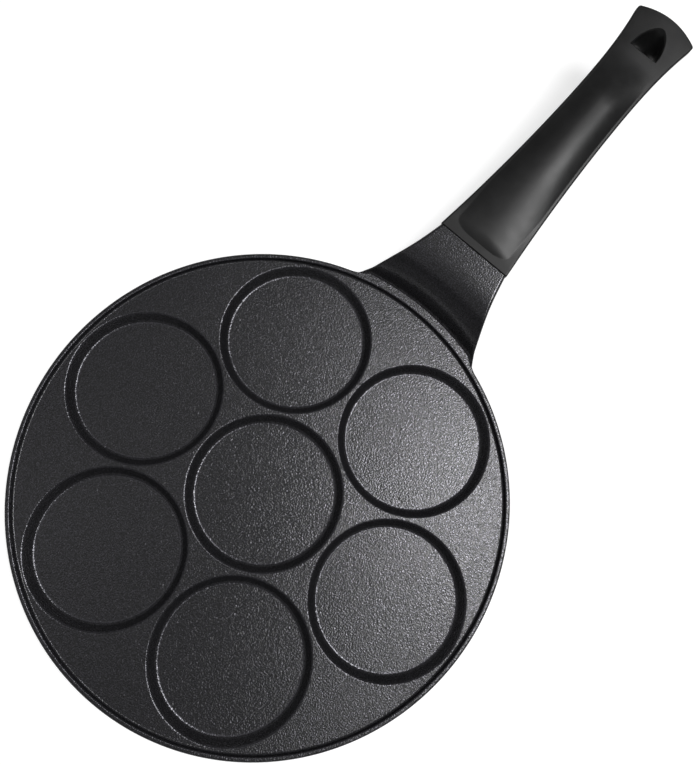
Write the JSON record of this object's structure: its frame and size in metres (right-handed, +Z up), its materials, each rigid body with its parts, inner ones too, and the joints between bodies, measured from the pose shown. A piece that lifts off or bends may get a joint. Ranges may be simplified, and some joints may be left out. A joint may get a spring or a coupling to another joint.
{
  "type": "pancake pan",
  "caption": "Round die-cast non-stick pan with a ring of shallow round pancake moulds about a central one, a low rim, and an upswept neck with a long screwed-on handle.",
  "frame": {"origin": "on the pan's axis, in the plane of the flat feet that the pan stands on", "axes": "+X along the handle, +Z up out of the moulds, +Y completes a right-handed frame"},
  "size_m": [0.4803, 0.268, 0.0585],
  "materials": {
    "nonstick_coating": "cast aluminium with a dark speckled satin non-stick coating",
    "bakelite": "matte black moulded phenolic",
    "plated_steel": "bright zinc-plated steel"
  },
  "bodies": {
    "root": {"pan_casting": "nonstick_coating", "handle_grip": "bakelite", "handle_screw": "plated_steel", "spring_washer": "plated_steel"}
  },
  "joints": []
}
